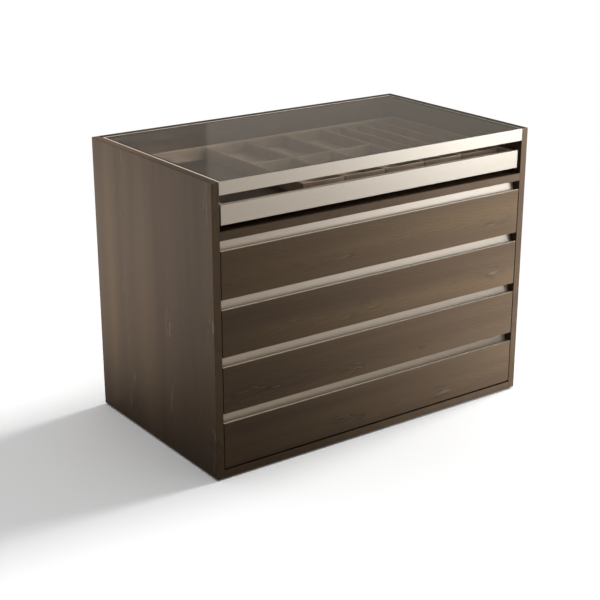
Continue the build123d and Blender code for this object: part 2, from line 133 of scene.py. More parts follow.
def thermo_oak(
    name, along, across, leaf, centre, flecks, seed, fleck_seed=17.0, shaded_above=None, top_shade_tones=None
):
    """Crown-cut oak veneer, heat-treated to a dark brown, under a satin lacquer. Slicing the log leaves
    nested arches up the middle of each leaf, pale flecks at a few of their tips, and quiet streaks
    beside them. The width of a leaf and the place of one's middle are in metres, flecks is the strength
    of the pale ones, and the two seeds fix the figure and the flecks. Above a given height, in metres,
    the top face gets painted shade, darker than the veneer: its tone runs from the first of two given
    tones at the front to the second at the back, so a paler second tone is painted light towards the
    back."""
    made, tree, surface, place = material(name)

    def size(length, width, depth):
        lengths = [depth] * 3
        lengths[along], lengths[across] = length, width
        return lengths

    axes = add(tree, "ShaderNodeSeparateXYZ", {0: place})
    wander = blotches(tree, place, size(600, 140, 140), detail=2, seed=seed)
    wander = add(tree, "ShaderNodeMapRange", {"Value": wander, "To Min": -WANDER, "To Max": WANDER})
    drift = add(tree, "ShaderNodeMath", {0: axes.outputs[across], 1: wander}, operation="ADD")
    from_middle = add(tree, "ShaderNodeMath", {0: drift, 1: -centre}, operation="ADD")
    from_middle = add(tree, "ShaderNodeMath", {0: from_middle, 1: leaf / 2}, operation="PINGPONG")

    # Nested arches: each ring is a hyperbola, round at its tip, and the rings lie 110 mm apart along the
    # leaf's middle and 8 mm apart beside it
    square = add(tree, "ShaderNodeMath", {0: from_middle, 1: from_middle}, operation="MULTIPLY")
    rounded = add(tree, "ShaderNodeMath", {0: square, 1: ARCH_TIP**2}, operation="ADD")
    reach = add(tree, "ShaderNodeMath", {0: rounded, 1: 0.5}, operation="POWER")
    rings = add(tree, "ShaderNodeMath", {0: reach, 1: 1 / ARCH_WIDTH}, operation="MULTIPLY")
    lengthwise = axes.outputs[along]
    climb = add(tree, "ShaderNodeMath", {0: lengthwise, 1: 1 / ARCH_LENGTH}, operation="MULTIPLY")
    waves = blotches(tree, place, size(80, 14, 40), detail=3, seed=seed + 3)
    waves = add(tree, "ShaderNodeMath", {0: waves, 1: WAVER}, operation="MULTIPLY")
    phase = add(tree, "ShaderNodeMath", {0: rings, 1: climb}, operation="ADD")
    phase = add(tree, "ShaderNodeMath", {0: phase, 1: waves}, operation="ADD")
    phase = add(tree, "ShaderNodeMath", {0: phase}, operation="FRACT")
    ring = add(
        tree,
        "ShaderNodeValToRGB",
        {"Fac": phase},
        stops=[
            (0.0, grey(0.91)),
            (0.12, grey(0.93)),
            (0.4, grey(1.03)),
            (0.9, grey(1.0)),
            (1.0, grey(0.93)),
        ],
    )

    # Tone: wide quiet streaks, and fine fibres. Pores are short dashes, drawn 1 mm wide to be seen
    wide = blotches(tree, place, size(1600, 75, 90), detail=2, seed=seed + 7)
    tone = add(
        tree,
        "ShaderNodeValToRGB",
        {"Fac": wide},
        stops=[(fac, linear(tint)) for fac, tint in zip((0.30, 0.50, 0.70), OAK_TONES)],
    )
    fine = blotches(tree, place, size(280, 2.6, 8), detail=3, seed=seed + 11)
    fine_tone = add(
        tree, "ShaderNodeValToRGB", {"Fac": fine}, stops=[(0.3, grey(0.965)), (0.7, grey(1.035))]
    )
    pores = blotches(tree, place, size(18, 1.0, 1.0), detail=1, seed=seed + 13)
    pore_tone = add(
        tree, "ShaderNodeValToRGB", {"Fac": pores}, stops=[(0.60, grey(1.0)), (0.70, grey(0.84))]
    )
    colour = tone
    for layer in (ring, fine_tone, pore_tone):
        mixed = add(
            tree, "ShaderNodeMix", {0: 1.0, 6: colour, 7: layer}, data_type="RGBA", blend_type="MULTIPLY"
        )
        colour = mixed.outputs[2]

    # Flecks: a few long strokes along the middle of a leaf, where the knife runs with the fibres, each
    # with a darker rim
    near = add(
        tree, "ShaderNodeMapRange", {"Value": from_middle, "From Min": 30 * MM, "From Max": 10 * MM}
    )
    cluster = blotches(tree, place, size(140, 70, 70), detail=1, seed=seed + fleck_seed + 2)
    cluster = add(tree, "ShaderNodeMapRange", {"Value": cluster, "From Min": 0.56, "From Max": 0.63})
    near = add(tree, "ShaderNodeMath", {0: near, 1: cluster}, operation="MULTIPLY")
    patch = blotches(tree, place, size(80, 8, 14), detail=3, seed=seed + fleck_seed)
    for low, high, strength, tint in ((0.46, 0.54, 0.5, FLECK_RIM), (0.55, 0.62, flecks, FLECK)):
        stroke = add(
            tree,
            "ShaderNodeMapRange",
            {"Value": patch, "From Min": low, "From Max": high, "To Max": strength},
        )
        stroke = add(tree, "ShaderNodeMath", {0: near, 1: stroke}, operation="MULTIPLY")
        colour = add(tree, "ShaderNodeMix", {0: stroke, 6: colour, 7: linear(tint)}, data_type="RGBA")
        colour = colour.outputs[2]

    # Painted shade on the top face, its tone running from the front to the back
    if shaded_above:
        on_top_face = add(
            tree, "ShaderNodeMath", {0: axes.outputs[Z], 1: shaded_above}, operation="GREATER_THAN"
        )
        depth = add(
            tree,
            "ShaderNodeMapRange",
            {"Value": axes.outputs[Y], "From Min": FRONT, "From Max": BACK},
        )
        near_tone, far_tone = (linear(tint) for tint in top_shade_tones)
        top_shade = add(tree, "ShaderNodeMix", {0: depth, 6: near_tone, 7: far_tone}, data_type="RGBA")
        top_shade = top_shade.outputs[2]
        colour = add(tree, "ShaderNodeMix", {0: on_top_face, 6: colour, 7: top_shade}, data_type="RGBA")
        colour = colour.outputs[2]

    roughness = add(tree, "ShaderNodeMapRange", {"Value": fine, "To Min": 0.34, "To Max": 0.44})
    relief = add(tree, "ShaderNodeMath", {0: fine, 1: pores}, operation="SUBTRACT")
    bump = add(tree, "ShaderNodeBump", {"Height": relief, "Strength": 0.25, "Distance": 0.1 * MM})
    shader = add(
        tree,
        "ShaderNodeBsdfPrincipled",
        {
            "Base Color": colour,
            "Roughness": roughness,
            "IOR": 1.4,
            "Specular Tint": linear("#ffd9b4"),
            "Normal": bump,
        },
    )
    tree.links.new(shader.outputs[0], surface)
    return made


FACING_UP = 0.9  # the upward part of a face's normal, past which it counts as facing up
PAINTED_HIGHLIGHT_TONE, PAINTED_SHADE_BROWN = "#f2ebe0", "#3a3028"


def anodised_aluminium(name, colour, along, roughness, shade_below=0.0, paler_facing_up=False):
    """Extruded aluminium, brushed along its length and anodised: a soft sheen, drawn out across the
    brushing. Below a given height, in metres, it is painted a flat dark brown, painted shade standing in
    for the dark it would reflect from under the glass. If asked, faces that point up are painted paler:
    a painted highlight."""
    made, tree, surface, place = material(name)
    lengths = [0.9] * 3  # real scratches are 0.1 mm wide, too fine to show
    lengths[along] = 70
    scratches = blotches(tree, place, lengths, detail=2)
    tone = add(
        tree,
        "ShaderNodeValToRGB",
        {"Fac": scratches},
        stops=[(0.3, [c * 0.95 for c in linear(colour)]), (0.7, linear(colour))],
    )
    # Painted highlight: faces that point up are painted paler
    if paler_facing_up:
        facing = add(tree, "ShaderNodeNewGeometry").outputs["True Normal"]
        facing = add(tree, "ShaderNodeSeparateXYZ", {0: facing}).outputs[Z]
        highlighted = add(tree, "ShaderNodeMath", {0: facing, 1: FACING_UP}, operation="GREATER_THAN")
        pale = linear(PAINTED_HIGHLIGHT_TONE)
        tone = add(tree, "ShaderNodeMix", {0: highlighted, 6: tone, 7: pale}, data_type="RGBA").outputs[2]
    low, high = roughness
    roughness = add(tree, "ShaderNodeMapRange", {"Value": scratches, "To Min": low, "To Max": high})
    bump = add(tree, "ShaderNodeBump", {"Height": scratches, "Strength": 0.2, "Distance": 0.02 * MM})
    metal = add(
        tree,
        "ShaderNodeBsdfPrincipled",
        {"Base Color": tone, "Metallic": 1.0, "Roughness": roughness, "Normal": bump},
    )
    if not shade_below:
        tree.links.new(metal.outputs[0], surface)
        return made
    # Painted shade: below the given height the metal is covered with a flat dark brown
    painted_shade = add(
        tree,
        "ShaderNodeBsdfPrincipled",
        {"Base Color": linear(PAINTED_SHADE_BROWN), "Roughness": 0.5, "IOR": 1.45, "Normal": bump},
    )
    height = add(tree, "ShaderNodeSeparateXYZ", {0: place}).outputs[Z]
    in_painted_shade = add(tree, "ShaderNodeMath", {0: height, 1: shade_below}, operation="LESS_THAN")
    both = add(tree, "ShaderNodeMixShader", {0: in_painted_shade, 1: metal, 2: painted_shade})
    tree.links.new(both.outputs[0], surface)
    return made


def smoked_glass():
    """Float glass, lightly smoked: clear and glossy, and lamps shine through it on what lies below."""
    made, tree, surface, _ = material("smoked_float_glass")
    smoke = linear("#e1ddd8")
    glass = add(
        tree,
        "ShaderNodeBsdfPrincipled",
        {"Base Color": smoke, "Roughness": 0.02, "IOR": 1.5, "Transmission Weight": 1.0},
    )
    clear = add(tree, "ShaderNodeBsdfTransparent", {"Color": smoke})
    lamp_ray = add(tree, "ShaderNodeLightPath").outputs["Is Shadow Ray"]
    both = add(tree, "ShaderNodeMixShader", {0: lamp_ray, 1: glass, 2: clear})
    tree.links.new(both.outputs[0], surface)
    return made


def linen_board():
    """Melamine-faced board with a linen emboss: crossed threads, drawn 2 mm wide because real ones are
    too fine to show."""
    made, tree, surface, place = material("linen_melamine")
    weft = blotches(tree, place, (2, 26, 2), detail=1)
    warp = blotches(tree, place, (26, 2, 26), detail=1, seed=5)
    weave = add(tree, "ShaderNodeMath", {0: weft, 1: warp}, operation="ADD")
    mean = add(tree, "ShaderNodeMath", {0: weave, 1: 0.5}, operation="MULTIPLY")
    tone = add(
        tree,
        "ShaderNodeValToRGB",
        {"Fac": mean},
        stops=[(0.35, linear("#8f8071")), (0.65, linear("#b0a293"))],
    )
    bump = add(tree, "ShaderNodeBump", {"Height": weave, "Strength": 0.3, "Distance": 0.1 * MM})
    shader = add(
        tree,
        "ShaderNodeBsdfPrincipled",
        {"Base Color": tone, "Roughness": 0.55, "IOR": 1.5, "Normal": bump},
    )
    tree.links.new(shader.outputs[0], surface)
    return made


GRAIN_CELL = 1.6 * MM
CREASE = 0.18  # from a crease's middle to its edge, in cells


def leather(name, dark, light, roughness=(0.42, 0.55), ior=1.48):
    """Corrected-grain leather: small cells between fine creases, drawn 1.6 mm across so that they show.
    An open finish is rougher and has a low index, so that it stays dark even seen along the surface."""
    made, tree, surface, place = material(name)
    cells = add(
        tree,
        "ShaderNodeTexVoronoi",
        {"Vector": place, "Scale": 1 / GRAIN_CELL},
        feature="DISTANCE_TO_EDGE",
    )
    crease = add(tree, "ShaderNodeMapRange", {"Value": cells, "From Max": CREASE})
    patina = blotches(tree, place, (60, 60, 60), detail=4)
    tone = add(
        tree, "ShaderNodeValToRGB", {"Fac": patina}, stops=[(0.3, linear(dark)), (0.7, linear(light))]
    )
    low, high = roughness
    roughness = add(tree, "ShaderNodeMapRange", {"Value": patina, "To Min": low, "To Max": high})
    bump = add(tree, "ShaderNodeBump", {"Height": crease, "Strength": 0.4, "Distance": 0.1 * MM})
    shader = add(
        tree,
        "ShaderNodeBsdfPrincipled",
        {"Base Color": tone, "Roughness": roughness, "IOR": ior, "Normal": bump},
    )
    tree.links.new(shader.outputs[0], surface)
    return made


def zinc_plate(name, colour):
    """Bright zinc on pressed steel: cool grey, with a faint crystal mottle 5 mm across."""
    made, tree, surface, place = material(name)
    mottle = blotches(tree, place, (5, 12, 5), detail=3)
    tone = add(
        tree,
        "ShaderNodeValToRGB",
        {"Fac": mottle},
        stops=[(0.3, [c * 0.85 for c in linear(colour)]), (0.7, linear(colour))],
    )
    roughness = add(tree, "ShaderNodeMapRange", {"Value": mottle, "To Min": 0.28, "To Max": 0.42})
    shader = add(
        tree, "ShaderNodeBsdfPrincipled", {"Base Color": tone, "Metallic": 1.0, "Roughness": roughness}
    )
    tree.links.new(shader.outputs[0], surface)
    return made


def matt_finish(name, dark, light, roughness, grit):
    """A matt solid colour with a faint mottle of grit millimetres, for foam tape, base board, bare wood
    and thread."""
    made, tree, surface, place = material(name)
    mottle = blotches(tree, place, [grit] * 3, detail=3)
    tone = add(
        tree, "ShaderNodeValToRGB", {"Fac": mottle}, stops=[(0.3, linear(dark)), (0.7, linear(light))]
    )
    bump = add(tree, "ShaderNodeBump", {"Height": mottle, "Strength": 0.2, "Distance": 0.05 * MM})
    shader = add(
        tree,
        "ShaderNodeBsdfPrincipled",
        {"Base Color": tone, "Roughness": roughness, "IOR": 1.5, "Normal": bump},
    )
    tree.links.new(shader.outputs[0], surface)
    return made


# How far below the back panel's top the painted shade of the top faces begins
SHADED_TOP_T = 0.9 * MM
STANDING_LEAVES = {
    "along": Z,
    "across": Y,
    "leaf": 0.22,
    "centre": -0.08,
    "flecks": 0.6,
    "seed": 2.0,
    "shaded_above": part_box("back_panel")[1].z - SHADED_TOP_T,
}
# Painted shade on the top faces: near black on the right side and the back, and on the left side dark at
# the front and paler at the back, where painted light lifts it
upright_oak = thermo_oak("thermo_oak_upright", top_shade_tones=("#17110d", "#17110d"), **STANDING_LEAVES)
left_oak = thermo_oak(
    "thermo_oak_left", fleck_seed=23.0, top_shade_tones=("#2c231b", "#524336"), **STANDING_LEAVES
)
level_oak = thermo_oak(
    "thermo_oak_level",
    along=X,
    across=Z,
    leaf=0.17,
    centre=0.06,
    flecks=0.35,
    seed=31.0,
    fleck_seed=29.0,
)
board_oak = thermo_oak(
    "thermo_oak_boards",
    along=X,
    across=Y,
    leaf=0.22,
    centre=0.05,
    flecks=0.35,
    seed=57.0,
)

CHAMPAGNE, PALE_CHAMPAGNE = "#a69d91", "#aaa094"
BRUSHED, BLASTED = (0.46, 0.56), (0.55, 0.63)  # lowest and highest roughness
UNSHADED_LIP = 6.5 * MM  # the rails' top, left without the painted shade
brushed_champagne = anodised_aluminium("brushed_champagne_aluminium", CHAMPAGNE, X, BRUSHED)
# The grips' faces that point up are painted paler: painted highlight
blasted_champagne = anodised_aluminium(
    "blasted_champagne_aluminium", PALE_CHAMPAGNE, X, BLASTED, paler_facing_up=True
)
# Below their lip the rails get painted shade, a flat dark brown
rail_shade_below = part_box("top_frame_back_rail")[1].z - UNSHADED_LIP
# The back and left rails are painted paler than the right one: painted highlight on the same metal
back_rail = anodised_aluminium("highlit_shade_painted_rail_along_x", "#d3cabd", X, BRUSHED, rail_shade_below)
right_rail = anodised_aluminium("shade_painted_rail_along_y", CHAMPAGNE, Y, BRUSHED, rail_shade_below)
left_rail = anodised_aluminium("highlit_shade_painted_rail_along_y", "#e9e1d6", Y, BRUSHED, rail_shade_below)

taupe_leather = leather("taupe_brown_leather", "#70614f", "#8b7a68")
screw_steel = zinc_plate("zinc_screws", "#b4b4b2")
waxed_thread = matt_finish("waxed_thread", "#8c7a66", "#a59480", 0.6, 1.5)

slot_finish = {
    "veneer": level_oak,
    "champagne_metal": brushed_champagne,
    "smoked_glass": smoked_glass(),
    "drawer_board": linen_board(),
    "brown_leather": taupe_leather,
    "lining": leather("dark_lining_leather", "#17110d", "#221a14", (0.6, 0.72), 1.2),
    "steel": zinc_plate("zinc_runner_steel", "#c3c6c8"),
    "screw_steel": screw_steel,
    "beech": matt_finish("bare_beech", "#b58f63", "#cda97c", 0.65, 6.0),
    "base_black": matt_finish("black_base_board", "#141210", "#1f1c19", 0.7, 2.0),
    "tape": matt_finish("acrylic_foam_tape", "#1d1b1a", "#2a2826", 0.8, 1.0),
    "cast_keys": zinc_plate("cast_zinc_keys", "#a8a8a8"),
}
node_finish = {
    "left_side_panel": left_oak,
    "right_side_panel": upright_oak,
    "back_panel": upright_oak,
    "bottom_panel": board_oak,
    "fixed_shelf": board_oak,
    "top_frame_back_rail": back_rail,
    "top_frame_left_rail": left_rail,
    "top_frame_right_rail": right_rail,
} | {f"{drawer}_grip": blasted_champagne for drawer in DRAWERS}
for row in frame["record"]["subparts"]:
    node = frame["nodes"][row["node"]]
    node.data.materials.clear()
    node.data.materials.append(node_finish.get(row["node"], slot_finish[row["material_slot"]]))


# Pieces that repeat, by Geometry Nodes


def new_tree(name, sizes):
    """A Geometry Nodes tree that takes a mesh or curve and the named sizes."""
    tree = bpy.data.node_groups.new(name, "GeometryNodeTree")
    tree.interface.new_socket("Geometry", in_out="INPUT", socket_type="NodeSocketGeometry")
    tree.interface.new_socket("Geometry", in_out="OUTPUT", socket_type="NodeSocketGeometry")
    for size in sizes:
        tree.interface.new_socket(size, in_out="INPUT", socket_type="NodeSocketFloat")
    return tree, add(tree, "NodeGroupInput")


def finish_tree(tree, instances, finish):
    """Ends a tree: its instances become real mesh, in one finish."""
    real = add(tree, "GeometryNodeRealizeInstances", {0: instances})
    painted = add(tree, "GeometryNodeSetMaterial", {0: real, "Material": finish})
    add(tree, "NodeGroupOutput", {0: painted})
    return tree


def grown(name, seed_data, tree, sizes, body):
    """Runs a tree on a seed mesh or curve and keeps the result as a plain mesh that rides on a body."""
    carrier = bpy.data.objects.new(name + "_seed", seed_data)
    bpy.context.scene.collection.objects.link(carrier)
    modifier = carrier.modifiers.new("grow", "NODES")
    modifier.node_group = tree
    for item in tree.interface.items_tree:
        if item.name in sizes:
            modifier[item.identifier] = sizes[item.name]
    bpy.context.view_layer.update()
    solved = carrier.evaluated_get(bpy.context.evaluated_depsgraph_get())
    mesh = bpy.data.meshes.new_from_object(solved)
    bpy.data.objects.remove(carrier)
    piece = bpy.data.objects.new(name, mesh)
    bpy.context.scene.collection.objects.link(piece)
    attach(piece, body)
    return piece


ARM_REACH, ARM_WIDTH = 1.15, 0.26  # the cross recess, in head radii
HEAD_SIDES, SHANK_SIDES = 28, 16


def screw_tree():
    """A pan-head screw with a cross recess on each point, driven against the point's axis."""
    sizes = ("Head Radius", "Head Height", "Shank Radius", "Shank Length")
    tree, given = new_tree("pan_head_screws", sizes)
    radius, height, shank_radius, shank_length = (given.outputs[size] for size in sizes)
    head = add(
        tree, "GeometryNodeMeshCylinder", {"Vertices": HEAD_SIDES, "Radius": radius, "Depth": height}
    )
    half = add(tree, "ShaderNodeMath", {0: height, 1: 0.5}, operation="MULTIPLY")
    up = add(tree, "ShaderNodeCombineXYZ", {"Z": half})
    head = add(tree, "GeometryNodeTransform", {"Geometry": head, "Translation": up})
    reach = add(tree, "ShaderNodeMath", {0: radius, 1: ARM_REACH}, operation="MULTIPLY")
    width = add(tree, "ShaderNodeMath", {0: radius, 1: ARM_WIDTH}, operation="MULTIPLY")
    arms = []
    for long_side, short_side in ((reach, width), (width, reach)):
        block = add(tree, "ShaderNodeCombineXYZ", {0: long_side, 1: short_side, 2: height})
        cube = add(tree, "GeometryNodeMeshCube", {"Size": block})
        place = add(tree, "ShaderNodeCombineXYZ", {"Z": height})
        arms.append(add(tree, "GeometryNodeTransform", {"Geometry": cube, "Translation": place}))
    for arm in arms:
        head = add(tree, "GeometryNodeMeshBoolean", {0: head, 1: arm}, operation="DIFFERENCE")
    shank = add(
        tree,
        "GeometryNodeMeshCylinder",
        {"Vertices": SHANK_SIDES, "Radius": shank_radius, "Depth": shank_length},
    )
    down = add(tree, "ShaderNodeMath", {0: shank_length, 1: -0.5}, operation="MULTIPLY")
    down = add(tree, "ShaderNodeCombineXYZ", {"Z": down})
    shank = add(tree, "GeometryNodeTransform", {"Geometry": shank, "Translation": down})
    screw = add(tree, "GeometryNodeJoinGeometry", {0: head})
    tree.links.new(shank.outputs[0], screw.inputs[0])
    axis = add(tree, "GeometryNodeInputNamedAttribute", {"Name": "axis"}, data_type="FLOAT_VECTOR")
    turn = add(tree, "FunctionNodeAlignRotationToVector", {"Vector": axis}, axis="Z")
    points = add(tree, "GeometryNodeMeshToPoints", {"Mesh": given.outputs[0]})
    placed = add(
        tree, "GeometryNodeInstanceOnPoints", {"Points": points, "Instance": screw, "Rotation": turn}
    )
    return finish_tree(tree, placed, screw_steel)


def stitch_tree():
    """Saddle stitches along each curve: short plump threads, end to end."""
    tree, given = new_tree("saddle_stitches", ("Pitch", "Length", "Thickness"))
    evenly = add(
        tree,
        "GeometryNodeResampleCurve",
        {"Curve": given.outputs[0], "Length": given.outputs["Pitch"]},
        mode="LENGTH",
    )
    bead = add(tree, "GeometryNodeMeshUVSphere", {"Segments": 6, "Rings": 4, "Radius": 0.5})
    thick = given.outputs["Thickness"]
    shape = add(tree, "ShaderNodeCombineXYZ", {0: thick, 1: thick, 2: given.outputs["Length"]})
    thread = add(tree, "GeometryNodeTransform", {"Geometry": bead, "Scale": shape})
    tangent = add(tree, "GeometryNodeInputTangent")
    turn = add(tree, "FunctionNodeAlignRotationToVector", {"Vector": tangent}, axis="Z")
    placed = add(
        tree, "GeometryNodeInstanceOnPoints", {"Points": evenly, "Instance": thread, "Rotation": turn}
    )
    return finish_tree(tree, placed, waxed_thread)


def point_mesh(name, places, axis):
    """Loose points, each with the axis that its screw's head faces."""
    mesh = bpy.data.meshes.new(name)
    mesh.from_pydata(places, [], [])
    attribute = mesh.attributes.new("axis", "FLOAT_VECTOR", "POINT")
    attribute.data.foreach_set("vector", [value for _ in places for value in axis])
    return mesh


screws = screw_tree()
PAN_HEAD = {
    "Head Radius": 3.6 * MM,
    "Head Height": 2.2 * MM,
    "Shank Radius": 1.9 * MM,
    "Shank Length": 12 * MM,
}
FLAT_HEAD = PAN_HEAD | {"Head Height": 1.1 * MM, "Shank Length": 9 * MM}
DRAWER_SHANK, TRAY_SHANK = 27 * MM, 17 * MM
RAIL_WALL = 2 * MM  # of the hollow frame rails
RUNNER_WEB = 1.2 * MM  # the steel sheet that the runner members are made of
END_HOLE, GRID_HOLE = 37 * MM, 261 * MM
SIDES = (("left", 1), ("right", -1))


def screw_row(name, places, axis, sizes, body, *stands_for):
    """Screws at the places, their heads facing along the axis, in place of the CAD nodes named last."""
    piece = grown(name, point_mesh(name, places, axis), screws, sizes, body)
    if stands_for:
        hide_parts(*stands_for)


def through_front(node, body, shank):
    """The two screws from a box into its front, at the places of the CAD screws."""
    low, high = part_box(node)
    radius = PAN_HEAD["Head Radius"]
    seat, middle = high.y - PAN_HEAD["Head Height"], (low.z + high.z) / 2
    places = [(x, seat, middle) for x in (low.x + radius, high.x - radius)]
    screw_row(node + "_cross", places, (0, 1, 0), PAN_HEAD | {"Shank Length": shank}, body, node)


for drawer in DRAWERS:
    through_front(f"{drawer}_front_screws", drawer, DRAWER_SHANK)
through_front("tray_front_screws", "tray", TRAY_SHANK)

frame_low, frame_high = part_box("top_frame_screws")
frame_z = (frame_low.z + frame_high.z) / 2
frame_y = (frame_low.y + PAN_HEAD["Head Radius"], frame_high.y - PAN_HEAD["Head Radius"])
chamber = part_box("top_frame_right_rail")[1].x - RAIL_WALL
for side, facing in SIDES:
    places = [(-facing * chamber, y, frame_z) for y in frame_y]
    stands_for = ["top_frame_screws"] if side == "left" else []
    screw_row(f"top_frame_screws_{side}", places, (facing, 0, 0), PAN_HEAD, "carcass", *stands_for)

# Runner screws: three through each member, 37 mm from its ends and 7 holes of the 32 mm grid further in
for name in ["tray", *DRAWERS]:
    for member, body in (("cabinet", "carcass"), ("drawer", name)):
        low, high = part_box(f"{name}_{member}_runners")
        middle = (low.z + high.z) / 2
        depths = (low.y + END_HOLE, low.y + GRID_HOLE, high.y - END_HOLE)
        for side, facing in SIDES:
            if member == "cabinet":
                x, turned = abs(low.x) - RUNNER_WEB, facing
            else:
                x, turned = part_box(f"{name}_box")[1].x + RUNNER_WEB, -facing
            places = [(-facing * x, y, middle) for y in depths]
            row = f"{name}_{member}_runner_screws_{side}"
            screw_row(row, places, (turned, 0, 0), FLAT_HEAD, body)


# Leather organisers


LEATHER_T = 5 * MM  # a wall: two leathers round a stiff core
FLOOR_T = 3 * MM
ROUNDED = 1.1 * MM


def cell_mesh(name, xs, ys, low, floor, top, pockets):
    """A closed box on a grid of x and y lines, with a pocket down to floor in each cell of pockets."""
    grid = bmesh.new()

    def quad(*corners):
        grid.faces.new([grid.verts.new(corner) for corner in corners])

    def flat(i, j, z):
        x0, x1, y0, y1 = xs[i], xs[i + 1], ys[j], ys[j + 1]
        quad((x0, y0, z), (x1, y0, z), (x1, y1, z), (x0, y1, z))

    columns, rows = len(xs) - 1, len(ys) - 1
    for i in range(columns):
        for j in range(rows):
            flat(i, j, floor if (i, j) in pockets else top)
            flat(i, j, low)

    def level(i, j):
        if not (0 <= i < columns and 0 <= j < rows):
            return low
        return floor if (i, j) in pockets else top

    for i in range(columns + 1):
        for j in range(rows):
            a, b = level(i - 1, j), level(i, j)
            if a != b:
                x, y0, y1 = xs[i], ys[j], ys[j + 1]
                quad((x, y0, a), (x, y1, a), (x, y1, b), (x, y0, b))
    for i in range(columns):
        for j in range(rows + 1):
            a, b = level(i, j - 1), level(i, j)
            if a != b:
                x0, x1, y = xs[i], xs[i + 1], ys[j]
                quad((x0, y, a), (x1, y, a), (x1, y, b), (x0, y, b))
    bmesh.ops.remove_doubles(grid, verts=grid.verts, dist=1e-6)
    flat_enough = math.radians(1)
    bmesh.ops.dissolve_limit(grid, angle_limit=flat_enough, verts=grid.verts, edges=grid.edges)
    bmesh.ops.recalc_face_normals(grid, faces=grid.faces)
    mesh = bpy.data.meshes.new(name)
    grid.to_mesh(mesh)
    grid.free()
    return mesh


def settle(piece):
    """Makes the piece's modifiers part of its mesh."""
    bpy.context.view_layer.update()
    solved = piece.evaluated_get(bpy.context.evaluated_depsgraph_get())
    mesh = bpy.data.meshes.new_from_object(solved)
    piece.modifiers.clear()
    piece.data = mesh


def organiser(name, x, y, z, split):
    """One organiser: rounded leather walls round two compartments, one behind the other where it is
    split across, and side by side where it is split along."""
    xs = [x[0], x[0] + LEATHER_T, x[1] - LEATHER_T, x[1]]
    ys = [y[0], y[0] + LEATHER_T, y[1] - LEATHER_T, y[1]]
    lines, pockets = (ys, [(1, 1), (1, 3)]) if split == "across" else (xs, [(1, 1), (3, 1)])
    middle = (lines[0] + lines[3]) / 2
    lines[2:2] = [middle - LEATHER_T / 2, middle + LEATHER_T / 2]  # the wall between the compartments
    mesh = cell_mesh(name, xs, ys, z[0], z[0] + FLOOR_T, z[1], pockets)
    piece = bpy.data.objects.new(name, mesh)
    bpy.context.scene.collection.objects.link(piece)
    soften = piece.modifiers.new("soften", "BEVEL")
    soften.width, soften.segments, soften.limit_method = ROUNDED, 3, "ANGLE"
    settle(piece)
    for face in piece.data.polygons:
        face.use_smooth = True
    piece.data.materials.append(taupe_leather)
    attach(piece, "tray")
    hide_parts("tray_organisers")


def loops_curve(name, rectangles, z):
    """Closed rectangular seams at one height."""
    curve = bpy.data.curves.new(name, "CURVE")
    curve.dimensions = "3D"
    for (x0, x1), (y0, y1) in rectangles:
        seam = curve.splines.new("POLY")
        seam.points.add(3)
        for point, (x, y) in zip(seam.points, ((x0, y0), (x1, y0), (x1, y1), (x0, y1))):
            point.co = (x, y, z, 1.0)
        seam.use_cyclic_u = True
    return curve


ORGANISERS, SPLIT_ACROSS = 5, 3
GAP = 2.5 * MM
THREAD_RISE = 0.1 * MM
low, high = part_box("tray_organisers")
pitch = (high.x - low.x + GAP) / ORGANISERS
seams = []
for index in range(ORGANISERS):
    left = low.x + index * pitch
    span = (left, left + pitch - GAP)
    organiser(
        f"organiser_{index + 1}",
        span,
        (low.y, high.y),
        (low.z, high.z),
        "across" if index < SPLIT_ACROSS else "along",
    )
    inset = LEATHER_T / 2
    seams.append(((span[0] + inset, span[1] - inset), (low.y + inset, high.y - inset)))

stitches = stitch_tree()
SADDLE = {"Pitch": 4.5 * MM, "Length": 3.4 * MM, "Thickness": 0.8 * MM}
grown(
    "organiser_stitches",
    loops_curve("organiser_seams", seams, high.z + THREAD_RISE),
    stitches,
    SADDLE,
    "tray",
)
lining_low, lining_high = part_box("tray_lining")
SEAM_INSET = 8 * MM
bay = (
    (lining_low.x + SEAM_INSET, low.x - SEAM_INSET),
    (lining_low.y + SEAM_INSET, lining_high.y - SEAM_INSET),
)
grown(
    "lining_stitches",
    loops_curve("lining_seam", [bay], lining_high.z + THREAD_RISE),
    stitches,
    SADDLE,
    "tray",
)


# Studio


FLOOR_REACH = 30.0
FLOOR_LIFT, FLOOR_GREY = 0.08, 0.1
WHITE_FROM, WHITE_FULL = 1.4, 3.0  # metres from the object's middle, where the floor fades into white
NEAR, NEAR_GLOSS = 0.5, 0.15  # up to here from the middle, gloss sees this much of white
FAR, FAR_GLOSS = 2.2, 0.8


